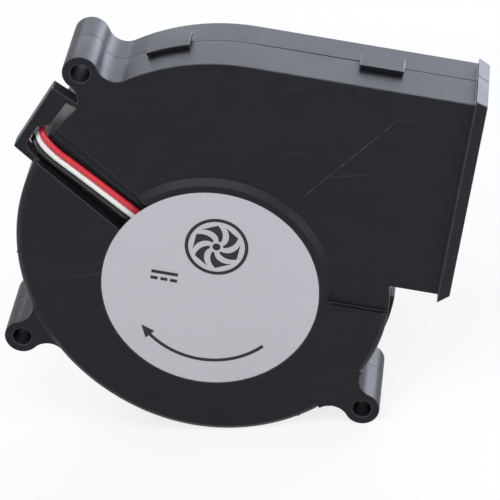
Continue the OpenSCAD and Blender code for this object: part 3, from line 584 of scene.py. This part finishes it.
def round_edges(names):
    """Joins the faces, rounds the corners that are sharp enough and gives the new faces the painted
    highlight.
    """
    for name in names:
        # the second slot holds the painted edge highlight for the bevel's faces
        nodes[name].data.materials.append(edge_highlight_paint)
        joined = nodes[name].modifiers.new("join_faces", "WELD")
        joined.merge_threshold = JOIN_WITHIN * MM
        rounded = nodes[name].modifiers.new("round_edges", "BEVEL")
        rounded.width = EDGE_WIDTH * MM
        rounded.segments = 2
        rounded.limit_method = "ANGLE"
        rounded.angle_limit = BEVEL_ABOVE
        rounded.use_clamp_overlap = False
        rounded.miter_outer = "MITER_ARC"
        rounded.material = 1
        parted = nodes[name].modifiers.new("crisp_edges", "EDGE_SPLIT")
        parted.split_angle = SPLIT_ABOVE
        nodes[name].modifiers.new("even_shading", "WEIGHTED_NORMAL").keep_sharp = True


round_edges(["casing_front", "casing_rear"])
print("rounded:", [m.name for m in nodes["casing_rear"].modifiers])

# %% [markdown]
# The label is a silvery foil with a clear matt film, cooler than paper. Its gloss changes slowly
# where the film was rolled on. The ink on it is a soft black, and both are made here.

# %% Label film
label_film = finish_of("silver_label_film", (0.425, 0.415, 0.44), 0.5, specular=0.45, grain=0.3,
                       bump=0.06, cloud=22, cloudy=0.10, scratched=0.02, wear=(0.4, 0.4, 0.42))
dress(["label"], label_film)
ink_black = finish_of("label_ink", (0.012, 0.012, 0.014), 0.5, specular=0.35, grain=0.2, bump=0.1,
                      cloud=4, cloudy=0.3, scratched=0.03, wear=(0.2, 0.2, 0.2))
print("label:", label_film.name, "printed with", ink_black.name)

# %% [markdown]
# Lead insulation is soft PVC, coloured right through and a little shiny. The three skins differ
# only in their colour, so one loop makes them.

# %% Lead insulation
LEAD_COLOURS = {"red": (0.56, 0.022, 0.034), "white": (0.70, 0.69, 0.68),
                "black": (0.004, 0.004, 0.0045)}
for name, colour in LEAD_COLOURS.items():
    skin = finish_of("lead_skin_" + name, colour, 0.36, specular=0.5, grain=0.25, bump=0.08,
                     cloud=7, cloudy=0.18, scratched=0.03, wear=(0.5, 0.5, 0.5))
    leads[name].data.materials.append(skin)
    print(name, "lead in", skin.name)

# %% [markdown]
# The print on the label is a very thin layer of ink. It is built as flat shapes that lie a hair
# above the film: a plain fan sign, the sign for direct current and an arrow for the sense of
# rotation. Real blowers carry such marks, and none of them belongs to a maker. A flat shape has a
# sharp edge from near by, and it is simpler to draw than a mask in the label's material.

# %% Helpers for printed shapes
INK_H = 22.02    # height over the inlet side, in mm; the label itself ends at 22


def arc_band(centre, radius, width, start, end, steps):
    """Corners of a curved band; the angles are in degrees, counterclockwise on the label."""
    found = []
    for edge, order in ((radius + width / 2, range(steps + 1)),
                        (radius - width / 2, range(steps, -1, -1))):
        for k in order:
            a = math.radians(start + (end - start) * k / steps)
            found.append((centre[0] + edge * math.cos(a), centre[1] + edge * math.sin(a)))
    return found


def band_faces(steps):
    """Four-sided faces between the outer and the inner corners of a band."""
    return [(k, k + 1, 2 * steps - k, 2 * steps + 1 - k) for k in range(steps)]


def print_shape(name, shapes):
    """One piece of ink from flat shapes; each shape is its corners and its faces."""
    points, faces = [], []
    for corners, its_faces in shapes:
        faces += [tuple(i + len(points) for i in face) for face in its_faces]
        points += [tuple(stood(x, y, INK_H)) for x, y in corners]
    mesh = bpy.data.meshes.new(name)
    mesh.from_pydata(points, [], faces)
    mesh.materials.append(ink_black)
    piece = bpy.data.objects.new(name, mesh)
    bpy.context.scene.collection.objects.link(piece)
    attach(piece, "casing")
    return piece


print("the ink lies", round(INK_H - DEPTH / MM, 3), "mm above the film")

# %% [markdown]
# The arrow tells which way the impeller turns, clockwise on this side. It is a thin arc with a
# triangle at its end.

# %% Turning arrow
def arrow_head(centre, radius, at, length, width):
    """A triangle on an arc, pointing clockwise."""
    base, tip = math.radians(at), math.radians(at - math.degrees(length / radius))
    out = [(centre[0] + r * math.cos(a), centre[1] + r * math.sin(a))
           for r, a in ((radius + width / 2, base), (radius - width / 2, base), (radius, tip))]
    return out, [(0, 1, 2)]


HUB = (0, 0)
LINE = 0.8            # width of the printed lines, in mm
ARROW_R = 18.5
ARROW_FROM, ARROW_TO = 318, 230
ARROW_STEPS = 40
arrow = print_shape("print_turning_arrow", [
    (arc_band(HUB, ARROW_R, LINE, ARROW_FROM, ARROW_TO, ARROW_STEPS), band_faces(ARROW_STEPS)),
    arrow_head(HUB, ARROW_R, ARROW_TO + 0.5, length=3.2, width=2.8)])
print("arrow:", len(arrow.data.polygons), "faces")

# %% [markdown]
# The fan sign is a ring with a dot in the middle and six bent blades between them. One function
# draws a blade, and a loop turns it round the dot.

# %% Fan sign
SIGN = (0, 11)
SIGN_R = 6.7
BLADE_ROOT, BLADE_LENGTH = 1.5, 3.9
BLADE_BEND, BLADE_SPREAD, BLADE_FLARE = 34, 20, 22    # degrees
BLADE_STEPS = 6


def blade_shape(turn):
    """One bent blade of the fan sign: out along one edge and back along the other."""
    corners = []
    for side in (0, 1):
        steps = range(BLADE_STEPS + 1)
        for k in (steps if side == 0 else reversed(steps)):
            out = k / BLADE_STEPS
            r = BLADE_ROOT + BLADE_LENGTH * out
            a = math.radians(turn + BLADE_BEND * out ** 1.3
                             + side * (BLADE_SPREAD + BLADE_FLARE * out))
            corners.append((SIGN[0] + r * math.cos(a), SIGN[1] + r * math.sin(a)))
    return corners, band_faces(BLADE_STEPS)


fan_sign = print_shape("print_fan_sign", [
    (arc_band(SIGN, SIGN_R, LINE, 0, 360, 64), band_faces(64)),
    (arc_band(SIGN, 0.45, 0.9, 0, 360, 32), band_faces(32))]
    + [blade_shape(turn) for turn in range(0, 360, 60)])
print("fan sign:", len(fan_sign.data.polygons), "faces")

# %% [markdown]
# The sign for direct current is a full line over three short ones.

# %% Direct-current sign
BAR_X, BAR_Y = -13.5, 0.2
DASH, DASH_PITCH, DASHES = 1.6, 2.2, 3


def bar(x, y, length):
    """A straight printed line from its lower left corner."""
    return ([(x, y), (x + length, y), (x + length, y + LINE), (x, y + LINE)], [(0, 1, 2, 3)])


dashes = [bar(BAR_X + k * DASH_PITCH, BAR_Y, DASH) for k in range(DASHES)]
full_line = bar(BAR_X, BAR_Y + 2 * LINE, DASH + (DASHES - 1) * DASH_PITCH)
current_sign = print_shape("print_direct_current_sign", [full_line] + dashes)
print("printed shapes:", arrow.name, fan_sign.name, current_sign.name)

# %% [markdown]
# A pale floor and a soft studio light. The camera sees the floor nearly white, while the lamps
# light the object at a plain level. Mirror rays see the same white, and the floor keeps a soft
# shadow, because one fifth of it stays a plain matt surface.

# %% Floor
FLOOR_REACH = 4
FLOOR_GLOW = 0.8
floor_data = bpy.data.meshes.new("floor")
floor_data.from_pydata([(x * FLOOR_REACH, y * FLOOR_REACH, FLOOR_Z)
                        for x, y in ((-1, -1), (1, -1), (1, 1), (-1, 1))], [], [(0, 1, 2, 3)])
floor = bpy.data.objects.new("floor", floor_data)
bpy.context.scene.collection.objects.link(floor)


def seen_plainly(tree):
    """1 for rays from the camera and for mirror and glass rays, 0 for the light on surfaces."""
    rays = add_node(tree, "ShaderNodeLightPath")
    return combine(tree, "MAXIMUM", rays.outputs["Is Camera Ray"],
                   combine(tree, "MAXIMUM", rays.outputs["Is Glossy Ray"],
                           rays.outputs["Is Transmission Ray"]))


floor_white = bpy.data.materials.new("floor_white")
floor_white.use_nodes = True
tree = floor_white.node_tree
tree.nodes.clear()
matt = add_node(tree, "ShaderNodeBsdfDiffuse")
matt.inputs["Color"].default_value = (0.82, 0.82, 0.82, 1)
lit = add_node(tree, "ShaderNodeEmission", Strength=1)
mixed = add_node(tree, "ShaderNodeMixShader")
tree.links.new(combine(tree, "MULTIPLY", seen_plainly(tree), FLOOR_GLOW), mixed.inputs[0])
tree.links.new(matt.outputs[0], mixed.inputs[1])
tree.links.new(lit.outputs[0], mixed.inputs[2])
output = add_node(tree, "ShaderNodeOutputMaterial")
tree.links.new(mixed.outputs[0], output.inputs["Surface"])
floor_data.materials.append(floor_white)
print("floor lies at", round(FLOOR_Z * 1000, 2), "mm")

# %% [markdown]
# The sky of the studio gives a weak, slightly blue light from all sides. Like the floor, it is
# white to the camera and in mirrors.

# %% Sky of the studio
SKY_STRENGTH = 0.33
world = bpy.data.worlds.new("studio")
bpy.context.scene.world = world
world.use_nodes = True
tree = world.node_tree
tree.nodes.clear()
soft = add_node(tree, "ShaderNodeBackground", Strength=SKY_STRENGTH)
soft.inputs["Color"].default_value = (0.92, 0.95, 1, 1)
white = add_node(tree, "ShaderNodeBackground", Strength=1)
white.inputs["Color"].default_value = (1, 1, 1, 1)
chosen = add_node(tree, "ShaderNodeMixShader")
tree.links.new(seen_plainly(tree), chosen.inputs[0])
tree.links.new(soft.outputs[0], chosen.inputs[1])
tree.links.new(white.outputs[0], chosen.inputs[2])
output = add_node(tree, "ShaderNodeOutputWorld")
tree.links.new(chosen.outputs[0], output.inputs["Surface"])
print("sky strength:", SKY_STRENGTH)

# %% [markdown]
# A black satin object shows its lamps more than its colour. The wide panel behind it lies where the
# upper wall mirrors it, the box at the right where the ears' flanks and the outlet's barb do, and
# the box above where the hub's sloping wall does. The front and side boxes fill the face.

# %% Soft boxes
def soft_box(name, place, width, height, watts, colour=(1, 1, 1)):
    """A rectangular lamp that looks at the fan."""
    data = bpy.data.lights.new(name, "AREA")
    data.shape = "RECTANGLE"
    data.size, data.size_y = width, height
    data.energy = watts
    data.color = colour
    lamp = bpy.data.objects.new(name, data)
    bpy.context.scene.collection.objects.link(lamp)
    lamp.location = place
    lamp.rotation_mode = "QUATERNION"
    lamp.rotation_quaternion = (Vector(place) - aim).to_track_quat("Z", "Y")
    return lamp


soft_box("back_panel", (0.34, 1.22, 0.45), 1.9, 0.95, 20.5, (0.80, 0.87, 1))
soft_box("top_box", (0.02, -0.6, 0.98), 1.7, 0.55, 10, (0.96, 0.97, 1))
soft_box("front_box", (-0.32, -1.12, 0.7), 1.1, 0.5, 4.5)
soft_box("right_box", (0.62, 1.1, 0.15), 0.5, 0.6, 6.5, (0.82, 0.84, 1))
soft_box("side_box", (1.15, -0.48, 0.12), 0.6, 0.5, 4)
bpy.context.scene.view_settings.view_transform = "Standard"

# %% [markdown]
# The last cell brings the scene up to date. The box of the construction model and the box of the
# dressed model should be nearly the same, because looks don't change a size.

# %% Bring the scene up to date
bpy.context.view_layer.update()
